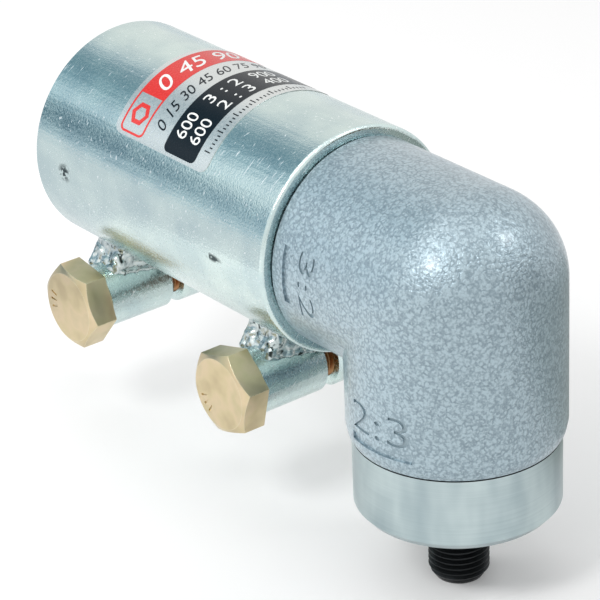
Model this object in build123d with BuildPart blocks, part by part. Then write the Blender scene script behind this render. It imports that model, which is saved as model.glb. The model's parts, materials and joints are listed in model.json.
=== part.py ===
"""Right angle attachment for a half inch drill.

A split clamp sleeve grips the drill's round collar at its rear mouth and the angle head at its
front mouth. The head turns the drive through 90 degrees with a pair of bevel gears, two to three,
so it runs fast one way round and slow the other.

Millimetres, +Z up. The origin is the centre of the sleeve's rear mouth. The sleeve runs along +X,
the output spindle points down along -Z, and the clamp bolts lie along Y with their heads at -Y.
"""
import os
from math import atan2, cos, hypot, pi, radians, sin, sqrt, tan

from build123d import *

os.makedirs("parts", exist_ok=True)

# Clamp sleeve: a plain steel tube, slit all along its underside
collar_diameter = 43.0
sleeve_wall = 3.2
sleeve_length = 80.5
slit_width = 3.0
rear_land = 28.0
front_land = 20.0
land_relief = 0.4
sleeve_edge = 0.5
mouth_round = 0.9

# Clamp lugs and their bolts
lug_diameter = 14.4
lug_chamfer = 0.6
plain_lug_length = 17.5
threaded_lug_length = 11.5
lug_standoff = 0.9
rear_bolt_x = 9.8
front_bolt_inset = 15.6
bolt_diameter = 10.0
bolt_length = 35.0
bolt_head_height = 6.6
bolt_across_flats = 17.0
bolt_face_diameter = 15.8
bolt_washer_face = 0.4
bolt_tip_chamfer = 1.2
rear_hex_turn = 51.0
front_hex_turn = 16.0
weld_foot_width = 12.4
weld_top_width = 17.0
weld_reach = 13.8
weld_end_inset = 0.8

# Foil label round the sleeve, between two angles measured up from the bolt heads' side; its rows
# climb towards the rear mouth by label_slant degrees
label_middle_x = 40.3
label_width = 32.0
label_slant = 3.2
label_low_angle = 33.2
label_high_angle = 127.5
label_thickness = 0.12
label_corner = 2.0

# Angle head casting
gear_room = 1.42
housing_wall = 4.6
input_arm_length = 30.2
output_arm_length = 31.5
corner_shift = 2.7

# How far each arm's end is drawn in, and how far back from its end
input_arm_end = ((0.0, 0.4), (0.4, 0.0))
output_arm_end = ((0.0, 3.2), (0.4, 1.2), (1.05, 0.0))

# Grooves cast under the speed marks
mark_groove_width = 1.8
mark_groove_depth = 0.5
output_groove_inset = 4.2
output_groove_angles = (-107.0, -64.0)
input_groove_inset = 4.4
input_groove_angles = (-13.0, 19.0)

# Bearing boxes, the turned ends of the head
box_chamfer_out = 1.3
box_chamfer_along = 1.5
bush_wall = 3.0
bush_length = 13.5
circlip_room = 2.0
seal_room = 0.88
seal_length = 3.4
seal_inset = 0.4

# Spindles with a half inch thread, twenty to the inch
thread_diameter = 12.7
thread_length = 16.4
thread_tip_length = 2.0
thread_tip_drop = 1.35
neck_length = 1.2
neck_depth = 0.75
seal_land_diameter = 15.0
gear_seat_diameter = 10.0
spindle_end_chamfer = 0.5

# Ball bearings, 12 x 28 x 8
bearing_bore = 12.0
bearing_outside = 28.0
bearing_width = 8.0
ball_diameter = 4.7
ball_count = 8
race_shoulder = 2.0
cage_thickness = 1.2
cage_rim = 0.8
cage_post_share = 0.5
cage_post_length = 4.0

# Bevel gears
gear_module = 1.5
pinion_teeth = 14
wheel_teeth = 21
face_width = 6.0
pressure_angle = 20.0
dedendum_share = 1.25
tooth_thinning = 0.09
tooth_foot_depth = 0.4
tooth_foot_flare = 1.02
flank_steps = 3
rim_thickness = 2.6
web_rise = 0.8
hub_diameter = 16.0
hub_back_rise = 0.88
hub_nose_diameter = 14.0
wheel_nose_rise = 1.74
pinion_nose_rise = 1.07

# Keys and circlips
key_width = 3.0
key_length = 4.6
key_depth = 1.8
key_height = 3.0
key_inset = 0.3
circlip_thickness = 1.0
circlip_groove_depth = 0.4
shaft_circlip_width = 1.9
box_circlip_depth = 0.9
box_circlip_width = 2.9
circlip_opening = 3.0
shaft_end_overhang = 1.0

# Drive coupling between the drill's spindle and the input spindle
coupling_across_flats = 19.0
coupling_standoff = 2.6
coupling_end_room = 0.6
coupling_socket = 13.4
coupling_relief_length = 2.0
coupling_relief_depth = 0.7
coupling_chamfer = 1.0

# Clearances
seat_gap = 0.02
box_gap = 0.03
bush_gap = 0.03
thrust_gap = 0.2
thread_gap = 0.05
collar_gap = 0.05
bolt_thread_gap = 0.05
bolt_hole_gap = 0.5
mouth_gap = 0.35
head_seat_gap = 0.02
seal_gap = 0.05
groove_gap = 0.1
key_gap = 0.1
ball_gap = 0.04
cage_gap = 0.15
glue_gap = 0.05

# How far a cutting shape runs past what it cuts
cut_margin = 1.0

# Clamp sizes that follow from the ones above
collar_radius = collar_diameter / 2
sleeve_radius = collar_radius + sleeve_wall
lug_radius = lug_diameter / 2
lug_inner_end = slit_width / 2
plain_lug_end = lug_inner_end + plain_lug_length
bolt_drop = sleeve_radius + lug_standoff + lug_radius
front_bolt_x = sleeve_length - front_bolt_inset

# Head sizes that follow: the elbow is where the two shafts meet
elbow = Vector(sleeve_length + mouth_gap + input_arm_length, 0, 0)
dedendum = dedendum_share * gear_module
wheel_slope = atan2(wheel_teeth, pinion_teeth)
wheel_tip_radius = gear_module * wheel_teeth / 2 + gear_module * cos(wheel_slope)
housing_bore = wheel_tip_radius + gear_room
arm_radius = housing_bore + housing_wall
ball_pitch_radius = (bearing_bore + bearing_outside) / 4
bush_outside = bearing_bore + 2 * bush_wall


class Stage:
    """One arm of the head: distances along its shaft are measured out from the elbow."""

    def __init__(self, name, axial, radial, arm_length, teeth, mate_teeth, nose_rise):
        self.name = name
        self.axial = Vector(*axial)
        self.radial = Vector(*radial)
        self.arm_length = arm_length
        self.teeth = teeth
        self.pitch_radius = gear_module * teeth / 2
        self.pitch_distance = gear_module * mate_teeth / 2
        self.cone = hypot(self.pitch_radius, self.pitch_distance)
        self.slope = atan2(self.pitch_radius, self.pitch_distance)
        self.inner_scale = (self.cone - face_width) / self.cone
        hub_depth = (self.pitch_radius - hub_diameter / 2) / cos(self.slope)
        self.rim = self.cone_point(1, min(dedendum + rim_thickness, hub_depth))
        self.nose = self.cone_point(self.inner_scale, dedendum * self.inner_scale)
        self.hub_front = self.nose[1] - nose_rise
        self.shaft_end = self.hub_front - groove_gap - circlip_thickness - shaft_end_overhang
        self.axis = Axis(elbow, self.axial)
        self.section = Plane(elbow, x_dir=self.radial, z_dir=self.radial.cross(self.axial))

    def across(self, distance):
        """The plane square to the shaft at a distance from the elbow."""
        return Plane(elbow + self.axial * distance, x_dir=self.radial, z_dir=self.axial)

    def cone_point(self, scale, depth):
        """Radius and distance of a point at a depth under the gear's pitch cone."""
        radius = self.cone * scale * sin(self.slope) - depth * cos(self.slope)
        distance = self.cone * scale * cos(self.slope) + depth * sin(self.slope)
        return (radius, distance)


output = Stage(
    "output",
    axial=(0, 0, -1),
    radial=(-1, 0, 0),
    arm_length=output_arm_length,
    teeth=wheel_teeth,
    mate_teeth=pinion_teeth,
    nose_rise=wheel_nose_rise,
)
intake = Stage(
    "input",
    axial=(-1, 0, 0),
    radial=(0, 0, -1),
    arm_length=input_arm_length,
    teeth=pinion_teeth,
    mate_teeth=wheel_teeth,
    nose_rise=pinion_nose_rise,
)

# Distances along both shafts, out from the elbow
gear_back = max(intake.rim[1], output.rim[1]) + hub_back_rise
key_front = gear_back - key_inset - key_length
box_inner_end = gear_back + thrust_gap
bearing_start = box_inner_end + bush_length + circlip_room
bearing_middle = bearing_start + bearing_width / 2
bearing_end = bearing_start + bearing_width
box_groove_start = bearing_end + seat_gap
box_groove_end = box_groove_start + circlip_thickness + groove_gap
box_reach = box_groove_end + seal_room + seal_length + seal_inset
thread_start = box_reach + neck_length
thread_reach = thread_start + thread_length
coupling_start = box_reach + coupling_standoff
coupling_relief_start = thread_reach + coupling_end_room
coupling_end = coupling_relief_start + coupling_relief_length + coupling_socket


# Clamp sleeve
with BuildPart() as clamp_sleeve:
    with BuildSketch(Plane.XZ):
        with BuildLine():
            CenterArc(
                (sleeve_length - mouth_round, sleeve_radius - mouth_round),
                mouth_round,
                start_angle=0,
                arc_size=90,
            )
            Polyline(
                (sleeve_length, sleeve_radius - mouth_round),
                (sleeve_length, collar_radius + sleeve_edge),
                (sleeve_length - sleeve_edge, collar_radius),
                (sleeve_length - front_land, collar_radius),
                (sleeve_length - front_land - land_relief, collar_radius + land_relief),
                (rear_land + land_relief, collar_radius + land_relief),
                (rear_land, collar_radius),
                (0, collar_radius),
                (0, sleeve_radius - sleeve_edge),
                (sleeve_edge, sleeve_radius),
                (sleeve_length - mouth_round, sleeve_radius),
            )
        make_face()
    revolve(axis=Axis.X)
    with BuildSketch(Plane.XY.offset(-sleeve_radius - cut_margin)):
        with Locations((sleeve_length / 2, 0)):
            Rectangle(sleeve_length + 2 * cut_margin, slit_width)
    extrude(amount=sleeve_radius, mode=Mode.SUBTRACT)
clamp_sleeve.part.label = "clamp_sleeve"
export_step(clamp_sleeve.part, "parts/clamp_sleeve.step")


def clamp_lug(bolt_x, side, length, bore_radius):
    """A round boss along the bolt, on the bolt head's side (-1) or the threaded side (+1)."""
    start = Plane((bolt_x, side * lug_inner_end, -bolt_drop), x_dir=(1, 0, 0), z_dir=(0, side, 0))
    with BuildPart() as lug:
        with BuildSketch(start):
            Circle(lug_radius)
        extrude(amount=length)
        chamfer(lug.edges().filter_by(GeomType.CIRCLE), lug_chamfer)
        with BuildSketch(start):
            Circle(bore_radius)
        extrude(amount=length, mode=Mode.SUBTRACT)
    return lug


def weld_bead(bolt_x, side, length):
    """The weld that fills the wedge between a lug and the round of the sleeve."""
    end = min(weld_reach, lug_inner_end + length - weld_end_inset)
    top = sqrt(sleeve_radius**2 - end**2) - cut_margin
    start = Plane((bolt_x, side * lug_inner_end, 0), x_dir=(1, 0, 0), z_dir=(0, side, 0))
    with BuildPart() as weld:
        with BuildSketch(start):
            with BuildLine():
                Polyline(
                    (-weld_top_width / 2, side * top),
                    (-weld_foot_width / 2, side * bolt_drop),
                    (weld_foot_width / 2, side * bolt_drop),
                    (weld_top_width / 2, side * top),
                    close=True,
                )
            make_face()
        extrude(amount=end - lug_inner_end)
        with BuildSketch(Plane.YZ):
            Circle(sleeve_radius)
        extrude(amount=sleeve_length, mode=Mode.SUBTRACT)
        with BuildSketch(Plane((bolt_x, 0, -bolt_drop), x_dir=(1, 0, 0), z_dir=(0, side, 0))):
            Circle(lug_radius)
        extrude(amount=plain_lug_end + cut_margin, mode=Mode.SUBTRACT)
    return weld


def clamp_bolt(bolt_x, hex_turn):
    """A hexagon bolt along Y, its head at -Y and its tip past the threaded lug."""
    seat_y = -plain_lug_end - head_seat_gap
    seat = Plane((bolt_x, seat_y, -bolt_drop), x_dir=(1, 0, 0), z_dir=(0, -1, 0))
    corner_radius = bolt_across_flats / 2 / cos(pi / 6)
    face_radius = bolt_face_diameter / 2
    chamfer_slope = tan(pi / 6)
    chamfer_start = (corner_radius + cut_margin - face_radius) * chamfer_slope - bolt_head_height
    with BuildPart() as bolt:
        with BuildSketch(seat.offset(bolt_washer_face)):
            RegularPolygon(corner_radius, 6, rotation=hex_turn)
        extrude(amount=bolt_head_height - bolt_washer_face)
        with BuildSketch(Plane((bolt_x, seat_y, -bolt_drop), x_dir=(1, 0, 0), z_dir=(0, 0, 1))):
            with BuildLine():
                Polyline(
                    (0, 0),
                    (corner_radius + cut_margin, 0),
                    (corner_radius + cut_margin, chamfer_start),
                    (face_radius, -bolt_head_height),
                    (0, -bolt_head_height),
                    close=True,
                )
            make_face()
        revolve(axis=Axis((bolt_x, seat_y, -bolt_drop), (0, 1, 0)), mode=Mode.INTERSECT)
        with BuildSketch(seat):
            Circle(bolt_across_flats / 2 - bolt_washer_face)
        extrude(amount=bolt_washer_face)
        with BuildSketch(seat):
            Circle(bolt_diameter / 2)
        extrude(amount=-bolt_length)
        chamfer(bolt.edges().sort_by(Axis.Y)[-1], bolt_tip_chamfer)
    return bolt


for place, bolt_x, hex_turn in (
    ("rear", rear_bolt_x, rear_hex_turn),
    ("front", front_bolt_x, front_hex_turn),
):
    lugs = (
        ("plain", -1, plain_lug_length, bolt_diameter / 2 + bolt_hole_gap),
        ("threaded", 1, threaded_lug_length, bolt_diameter / 2 + bolt_thread_gap),
    )
    for kind, side, length, bore_radius in lugs:
        lug = clamp_lug(bolt_x, side, length, bore_radius)
        lug.part.label = f"{place}_{kind}_lug"
        export_step(lug.part, f"parts/{place}_{kind}_lug.step")

        weld = weld_bead(bolt_x, side, length)
        weld.part.label = f"{place}_{kind}_weld"
        export_step(weld.part, f"parts/{place}_{kind}_weld.step")

    bolt = clamp_bolt(bolt_x, hex_turn)
    bolt.part.label = f"{place}_clamp_bolt"
    export_step(bolt.part, f"parts/{place}_clamp_bolt.step")


# Foil label: a thin tube round the sleeve, cut to the label's outline seen square on
with BuildPart() as sleeve_label:
    label_radius = sleeve_radius + glue_gap + label_thickness
    label_middle = radians((label_low_angle + label_high_angle) / 2)
    half_tall = label_radius * sin(radians(label_high_angle - label_low_angle) / 2)
    half_wide = label_width / 2
    drift = half_tall * tan(radians(label_slant))
    outward = Vector(0, -cos(label_middle), sin(label_middle))
    with BuildSketch(Plane.YZ):
        Circle(label_radius)
        Circle(label_radius - label_thickness, mode=Mode.SUBTRACT)
    extrude(amount=sleeve_length)
    with BuildSketch(Plane((label_middle_x, 0, 0), x_dir=(1, 0, 0), z_dir=outward)):
        with BuildLine():
            Polyline(
                (drift - half_wide, -half_tall),
                (drift + half_wide, -half_tall),
                (half_wide - drift, half_tall),
                (-half_wide - drift, half_tall),
                close=True,
            )
        make_face()
        fillet(vertices(), label_corner)
    extrude(amount=label_radius + cut_margin, mode=Mode.INTERSECT)
sleeve_label.part.label = "sleeve_label"
export_step(sleeve_label.part, "parts/sleeve_label.step")


def turned(stage, outline):
    """A piece turned about the stage's shaft, from its outline of radius and distance."""
    with BuildPart() as piece:
        with BuildSketch(stage.section):
            with BuildLine():
                Polyline(*outline, close=True)
            make_face()
        revolve(axis=stage.axis)
    return piece


# Angle housing: two round arms, mitred inside and rounded over outside
mitre = Plane(elbow, x_dir=(0, 1, 0), z_dir=(-1, 0, 1))


def housing_arm(stage, side, end):
    """One arm of the casting, cut at the mitre, with its open end drawn in."""
    outline = [(0, -corner_shift), (arm_radius, -corner_shift)]
    for drop, inset in end:
        outline.append((arm_radius - drop, stage.arm_length - inset))
    outline.append((0, stage.arm_length))
    whole = turned(stage, outline)
    with BuildPart() as arm:
        add(whole.part)
        split(bisect_by=mitre, keep=side)
    return arm


with BuildPart() as round_corner:
    half_chord = sqrt(arm_radius**2 - corner_shift**2)
    with BuildSketch(Plane(elbow + Vector(0, 0, corner_shift))):
        with BuildLine():
            ThreePointArc((corner_shift, -half_chord), (arm_radius, 0), (corner_shift, half_chord))
            Line((corner_shift, half_chord), (corner_shift, -half_chord))
        make_face()
    revolve(axis=Axis(elbow + Vector(corner_shift, 0, corner_shift), (0, -1, 0)), revolution_arc=90)


def mark_groove(stage, inset, angles):
    """The shallow line cast under a speed mark, as a cutter to take from the housing."""
    first = radians(angles[0])
    if stage is output:
        outward = Vector(cos(first), sin(first), 0)
        turn = Axis(elbow, (0, 0, 1))
    else:
        outward = Vector(0, -cos(first), sin(first))
        turn = Axis(elbow, (-1, 0, 0))
    with BuildPart() as groove:
        with BuildSketch(Plane(elbow, x_dir=outward, z_dir=outward.cross(stage.axial))):
            with Locations((arm_radius, stage.arm_length - inset)):
                Rectangle(2 * mark_groove_depth, mark_groove_width)
        revolve(axis=turn, revolution_arc=angles[1] - angles[0])
    return groove


with BuildPart() as angle_housing:
    add(housing_arm(intake, Keep.TOP, input_arm_end).part)
    add(housing_arm(output, Keep.BOTTOM, output_arm_end).part)
    add(round_corner.part)
    for stage in (intake, output):
        with BuildSketch(stage.across(stage.arm_length)):
            Circle(housing_bore)
        extrude(amount=-stage.arm_length, mode=Mode.SUBTRACT)
    with Locations(elbow):
        Sphere(housing_bore, mode=Mode.SUBTRACT)
    add(mark_groove(output, output_groove_inset, output_groove_angles).part, mode=Mode.SUBTRACT)
    add(mark_groove(intake, input_groove_inset, input_groove_angles).part, mode=Mode.SUBTRACT)
angle_housing.part.label = "angle_housing"
export_step(angle_housing.part, "parts/angle_housing.step")


def plain_ring(stage, inner, outer, start, end):
    """A plain turned ring between two radii and two distances."""
    return turned(stage, [(inner, start), (outer, start), (outer, end), (inner, end)])


def bearing_box(stage):
    """The turned box that screws into an arm, carries the bush and bearing and ends in the band."""
    spigot = housing_bore - box_gap
    band = collar_radius - collar_gap
    bush_bore = bush_outside / 2 + seat_gap
    pocket = bearing_outside / 2 + seat_gap
    groove = pocket + box_circlip_depth
    outline = [
        (bush_bore, box_inner_end),
        (spigot, box_inner_end),
        (spigot, stage.arm_length),
        (band, stage.arm_length),
        (band, box_reach - box_chamfer_along),
        (band - box_chamfer_out, box_reach),
        (pocket, box_reach),
        (pocket, box_groove_end),
        (groove, box_groove_end),
        (groove, box_groove_start),
        (pocket, box_groove_start),
        (pocket, bearing_start),
        (bush_bore, bearing_start),
    ]
    return turned(stage, outline)


def spindle(stage):
    """The shaft: gear seat, bush journal, bearing seat, seal land, neck and thread."""
    gear_seat = gear_seat_diameter / 2
    journal = bearing_bore / 2
    land = seal_land_diameter / 2
    gear_groove = stage.hub_front - circlip_thickness - 2 * groove_gap
    ring_groove = bearing_start - circlip_thickness - 2 * groove_gap
    thread = thread_diameter / 2
    neck = thread - neck_depth
    outline = [
        (0, stage.shaft_end),
        (gear_seat - spindle_end_chamfer, stage.shaft_end),
        (gear_seat, stage.shaft_end + spindle_end_chamfer),
        (gear_seat, gear_groove),
        (gear_seat - circlip_groove_depth, gear_groove),
        (gear_seat - circlip_groove_depth, stage.hub_front),
        (gear_seat, stage.hub_front),
        (gear_seat, gear_back),
        (journal, gear_back),
        (journal, ring_groove),
        (journal - circlip_groove_depth, ring_groove),
        (journal - circlip_groove_depth, bearing_start),
        (journal, bearing_start),
        (journal, bearing_end),
        (land, bearing_end),
        (land, box_reach),
        (neck, box_reach),
        (neck, thread_start),
        (thread, thread_start + neck_depth),
        (thread, thread_reach - thread_tip_length),
        (thread - thread_tip_drop, thread_reach),
        (0, thread_reach),
    ]
    shaft = turned(stage, outline)
    with BuildPart() as piece:
        add(shaft.part)
        with BuildSketch(stage.across(key_front)):
            with Locations((gear_seat, 0)):
                Rectangle(2 * key_depth, key_width)
        extrude(amount=key_length, mode=Mode.SUBTRACT)
    return piece


def shaft_key(stage):
    """The square key that drives the gear."""
    bottom = gear_seat_diameter / 2 - key_depth
    with BuildPart() as piece:
        with BuildSketch(stage.across(key_front + seat_gap)):
            with Locations((bottom + key_height / 2 + seat_gap, 0)):
                Rectangle(key_height, key_width - 2 * seat_gap)
        extrude(amount=key_length - 2 * seat_gap)
    return piece


def open_ring(stage, inner, outer, start):
    """A circlip: a thin ring with a gap on the side away from the other shaft."""
    ring = plain_ring(stage, inner, outer, start, start + circlip_thickness)
    with BuildPart() as piece:
        add(ring.part)
        with BuildSketch(stage.across(start)):
            with Locations((-outer, 0)):
                Rectangle(outer, circlip_opening)
        extrude(amount=circlip_thickness, mode=Mode.SUBTRACT)
    return piece


def race_ring(stage, inner, outer):
    """A bearing ring with its ball groove."""
    with BuildPart() as piece:
        with BuildSketch(stage.section):
            with Locations(((inner + outer) / 2, bearing_middle)):
                Rectangle(outer - inner, bearing_width)
            with Locations((ball_pitch_radius, bearing_middle)):
                Circle(ball_diameter / 2 + ball_gap, mode=Mode.SUBTRACT)
        revolve(axis=stage.axis)
    return piece


def ball_set(stage):
    """The balls of a bearing and the pressed cage, a flat sided rim with posts that space them."""
    rim_start = bearing_middle - ball_diameter / 2 - cage_gap - cage_rim
    ball_spacing = 2 * pi * ball_pitch_radius / ball_count
    post_width = cage_post_share * (ball_spacing - ball_diameter)
    half_pitch = 180 / ball_count
    with BuildPart() as piece:
        with Locations(stage.across(bearing_middle)):
            with PolarLocations(ball_pitch_radius, ball_count):
                Sphere(ball_diameter / 2)
        with BuildSketch(stage.across(rim_start)):
            RegularPolygon(ball_pitch_radius + cage_thickness / 2, ball_count, rotation=half_pitch)
            RegularPolygon(
                ball_pitch_radius - cage_thickness / 2,
                ball_count,
                rotation=half_pitch,
                mode=Mode.SUBTRACT,
            )
        extrude(amount=cage_rim)
        with BuildSketch(stage.across(rim_start)):
            with PolarLocations(ball_pitch_radius, ball_count, start_angle=half_pitch):
                Rectangle(cage_thickness, post_width)
        extrude(amount=cage_post_length)
    return piece


def tooth_outline(stage, scale):
    """Half tooth points, root to tip, as (sideways, outwards) from the pitch cone."""
    pitch = stage.pitch_radius / cos(stage.slope)
    base = pitch * cos(radians(pressure_angle))
    root = pitch - dedendum
    tip = pitch + gear_module
    pitch_unroll = tan(radians(pressure_angle)) - radians(pressure_angle)
    half_angle = pi / 2 / (stage.teeth / cos(stage.slope)) - tooth_thinning / pitch
    start = max(base, root)
    flank = []
    for step in range(flank_steps + 1):
        radius = start + (tip - start) * step / flank_steps
        angle = sqrt(max((radius / base) ** 2 - 1, 0))
        unroll = angle - atan2(angle, 1)
        spread = half_angle + pitch_unroll - unroll
        flank.append((radius * sin(spread), radius * cos(spread) - pitch))
    flank.insert(0, (flank[0][0] * tooth_foot_flare, -dedendum - tooth_foot_depth))
    left = [(-side * scale, out * scale) for side, out in flank]
    right = [(side * scale, out * scale) for side, out in reversed(flank)]
    return left + right


def bevel_gear(stage, phase):
    """A straight bevel gear with its apex at the elbow, keyed on the spindle."""
    along = stage.radial * sin(stage.slope) + stage.axial * cos(stage.slope)
    outward = stage.radial * cos(stage.slope) - stage.axial * sin(stage.slope)
    sideways = outward.cross(along)

    with BuildPart() as tooth:
        for scale in (1, stage.inner_scale):
            place = elbow + along * stage.cone * scale
            with BuildSketch(Plane(place, x_dir=sideways, z_dir=along)):
                with BuildLine():
                    Polyline(*tooth_outline(stage, scale), close=True)
                make_face()
        loft(ruled=True)

    bore = gear_seat_diameter / 2 + seat_gap
    hub = hub_diameter / 2
    outline = [
        (bore, stage.hub_front),
        (min(hub_nose_diameter / 2, stage.nose[0]), stage.hub_front),
        stage.nose,
        stage.cone_point(1, dedendum),
        stage.rim,
        (hub, stage.rim[1] + web_rise),
        (hub, gear_back),
        (bore, gear_back),
    ]
    blank = turned(stage, outline)
    with BuildPart() as gear:
        add(blank.part)
        for index in range(stage.teeth):
            add(tooth.part.rotate(stage.axis, (index + phase) * 360 / stage.teeth))
        with BuildSketch(stage.across(key_front)):
            with Locations((gear_seat_diameter / 2, 0)):
                Rectangle(2 * (key_height - key_depth + key_gap), key_width)
        extrude(amount=gear_back - key_front, mode=Mode.SUBTRACT)
        with BuildSketch(stage.across(stage.shaft_end)):
            Circle(bore)
        extrude(amount=gear_back, mode=Mode.SUBTRACT)
    return gear


for stage, gear_name, phase in (
    (intake, "input_bevel_pinion", 0),
    (output, "output_bevel_gear", 0.5),
):
    gear_groove = gear_seat_diameter / 2 - circlip_groove_depth
    ring_groove = bearing_bore / 2 - circlip_groove_depth
    pieces = {
        "bearing_box": bearing_box(stage),
        "spindle": spindle(stage),
        "gear_key": shaft_key(stage),
        "gear_circlip": open_ring(
            stage,
            gear_groove + seat_gap,
            gear_groove + shaft_circlip_width,
            stage.hub_front - circlip_thickness - groove_gap,
        ),
        "bearing_circlip": open_ring(
            stage,
            ring_groove + seat_gap,
            ring_groove + shaft_circlip_width,
            bearing_start - circlip_thickness - groove_gap,
        ),
        "box_circlip": open_ring(
            stage,
            bearing_outside / 2 + box_circlip_depth - box_circlip_width,
            bearing_outside / 2 + box_circlip_depth,
            box_groove_start + seat_gap,
        ),
        "spindle_bush": plain_ring(
            stage,
            bearing_bore / 2 + bush_gap,
            bush_outside / 2,
            box_inner_end,
            box_inner_end + bush_length,
        ),
        "oil_seal": plain_ring(
            stage,
            seal_land_diameter / 2 + seal_gap,
            bearing_outside / 2,
            box_reach - seal_inset - seal_length,
            box_reach - seal_inset,
        ),
        "bearing_shaft_ring": race_ring(
            stage,
            bearing_bore / 2 + seat_gap,
            ball_pitch_radius - race_shoulder,
        ),
        "bearing_box_ring": race_ring(
            stage,
            ball_pitch_radius + race_shoulder,
            bearing_outside / 2,
        ),
        "bearing_balls": ball_set(stage),
    }
    for piece_name, piece in pieces.items():
        piece.part.label = f"{stage.name}_{piece_name}"
        export_step(piece.part, f"parts/{stage.name}_{piece_name}.step")

    gear = bevel_gear(stage, phase)
    gear.part.label = gear_name
    export_step(gear.part, f"parts/{gear_name}.step")


# Drive coupling: a long hexagon nut with a socket at each end
with BuildPart() as drive_coupling:
    corner = coupling_across_flats / 2 / cos(pi / 6)
    with BuildSketch(intake.across(coupling_start)):
        RegularPolygon(corner, 6)
    extrude(amount=coupling_end - coupling_start)
    with BuildSketch(intake.section):
        with BuildLine():
            Polyline(
                (0, coupling_start),
                (corner - coupling_chamfer, coupling_start),
                (corner, coupling_start + coupling_chamfer),
                (corner, coupling_end - coupling_chamfer),
                (corner - coupling_chamfer, coupling_end),
                (0, coupling_end),
                close=True,
            )
        make_face()
    revolve(axis=intake.axis, mode=Mode.INTERSECT)
    with BuildSketch(intake.across(coupling_start)):
        Circle(thread_diameter / 2 + thread_gap)
    extrude(amount=coupling_end - coupling_start, mode=Mode.SUBTRACT)
    with BuildSketch(intake.across(coupling_relief_start)):
        Circle(thread_diameter / 2 + thread_gap + coupling_relief_depth)
    extrude(amount=coupling_relief_length, mode=Mode.SUBTRACT)
drive_coupling.part.label = "drive_coupling"
export_step(drive_coupling.part, "parts/drive_coupling.step")
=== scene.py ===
import json
from math import cos, hypot, pi, radians, sin, sqrt, tan

import bpy
from mathutils import Matrix, Vector


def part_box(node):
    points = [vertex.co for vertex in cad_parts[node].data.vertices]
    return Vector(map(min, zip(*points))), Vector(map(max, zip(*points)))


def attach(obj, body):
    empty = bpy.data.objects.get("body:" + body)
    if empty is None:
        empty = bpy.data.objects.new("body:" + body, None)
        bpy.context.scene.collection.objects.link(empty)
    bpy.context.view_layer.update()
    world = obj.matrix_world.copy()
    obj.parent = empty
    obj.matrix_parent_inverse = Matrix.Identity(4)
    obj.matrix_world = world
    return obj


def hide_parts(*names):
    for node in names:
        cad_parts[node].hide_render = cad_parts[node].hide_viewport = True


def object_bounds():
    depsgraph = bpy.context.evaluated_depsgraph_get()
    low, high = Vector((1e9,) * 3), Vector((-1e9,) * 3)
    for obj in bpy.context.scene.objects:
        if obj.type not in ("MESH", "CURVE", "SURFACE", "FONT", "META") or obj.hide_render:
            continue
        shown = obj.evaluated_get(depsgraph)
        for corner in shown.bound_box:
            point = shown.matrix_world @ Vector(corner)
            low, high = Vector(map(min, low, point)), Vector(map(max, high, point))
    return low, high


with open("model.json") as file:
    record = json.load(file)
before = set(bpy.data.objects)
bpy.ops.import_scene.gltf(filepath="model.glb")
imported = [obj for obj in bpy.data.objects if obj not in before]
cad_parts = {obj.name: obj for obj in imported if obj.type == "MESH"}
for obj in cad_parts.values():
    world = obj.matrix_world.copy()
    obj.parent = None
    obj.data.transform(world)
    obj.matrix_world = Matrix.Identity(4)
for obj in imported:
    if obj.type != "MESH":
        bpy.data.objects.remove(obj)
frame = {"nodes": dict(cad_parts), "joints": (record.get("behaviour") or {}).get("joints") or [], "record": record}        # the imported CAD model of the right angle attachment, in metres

cad_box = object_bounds()
bpy.ops.object.select_all(action="DESELECT")

MM = 0.001

# How near to a cutting plane a corner counts as on it, in metres
cut_threshold = 1e-8

# Places taken from the frame: the elbow is where the two shafts meet
joints = {joint["name"]: joint for joint in frame["joints"]}
elbow = Vector(joints["output_spin"]["pos_m"])
sleeve_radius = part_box("clamp_sleeve")[1].z
arm_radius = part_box("angle_housing")[1].y
floor_height = cad_box[0].z

# Threads, in millimetres, and the corners of their profile as shares of the pitch
spindle_pitch = 1.27
spindle_crest = 6.35
spindle_depth = 0.78
spindle_thread_start = -48.4
bolt_pitch = 1.5
bolt_crest = 5.0
bolt_depth = 0.92
rise_start, crest_start, crest_end, fall_end = 0.12, 0.46, 0.60, 0.94

# Relief groove round the top of the output box, in millimetres
groove_depth = 0.45
groove_height = 0.38

# Bolt heads, in millimetres: softened corners, and three dashes stamped on a circle
corner_softening = 0.3
dash_circle = 5.6
dash_size = (2.0, 0.5, 0.45)
dash_turns = (-17, 0, 17)

# Weld beads, in millimetres: their spacing out from the slit, and the size of those at the
# sleeve's foot, at the lug and on the far end, with how much each size ripples
bead_step = 0.95
foot_bead, foot_ripple = 1.15, 0.28
lug_bead, lug_ripple = 0.8, 0.22
end_bead, end_ripple = 1.2, 0.35
# A row's distance across the lug at the slit, and what it draws in for each millimetre out
foot_across, foot_draw = 5.5, 0.17
lug_across, lug_draw = 5.8, 0.13
# How far the foot row stands off the sleeve at the slit, and what each millimetre out adds
foot_off, foot_rise = 0.9, 0.13
lug_off = 0.1
# The far end's grid of beads: its first place, and its steps across, out and off the sleeve
end_rows, end_columns = 5, 5
end_across, column_step, column_ripple = -5.0, 2.1, 0.4
end_back, row_out = 2.4, 0.75
end_off, row_off = 0.5, 1.35
weld_voxel = 0.3

# Label, in millimetres from its middle: its rows climb towards the rear mouth
label_long = 40.8
label_tall = 32.0
label_corner = 2.2
label_middle_angle = radians(80.35)
label_middle_x = 40.3
label_slant = radians(3.2)
foil_gap = 0.02
foil_thickness = 0.09
print_thickness = 0.03
field_thickness = 0.024
field_long = 39.6
field_middle = 0.1
red_row = 10.45
red_tall = 8.1
panel_row = -6.35
panel_tall = 10.7
figures_row = 2.6
figures_lean = 0.35
ratio_tall = 3.3
tick_width = 0.28
short_tick, long_tick = 0.9, 1.8
tick_foot = -14.75


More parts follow.
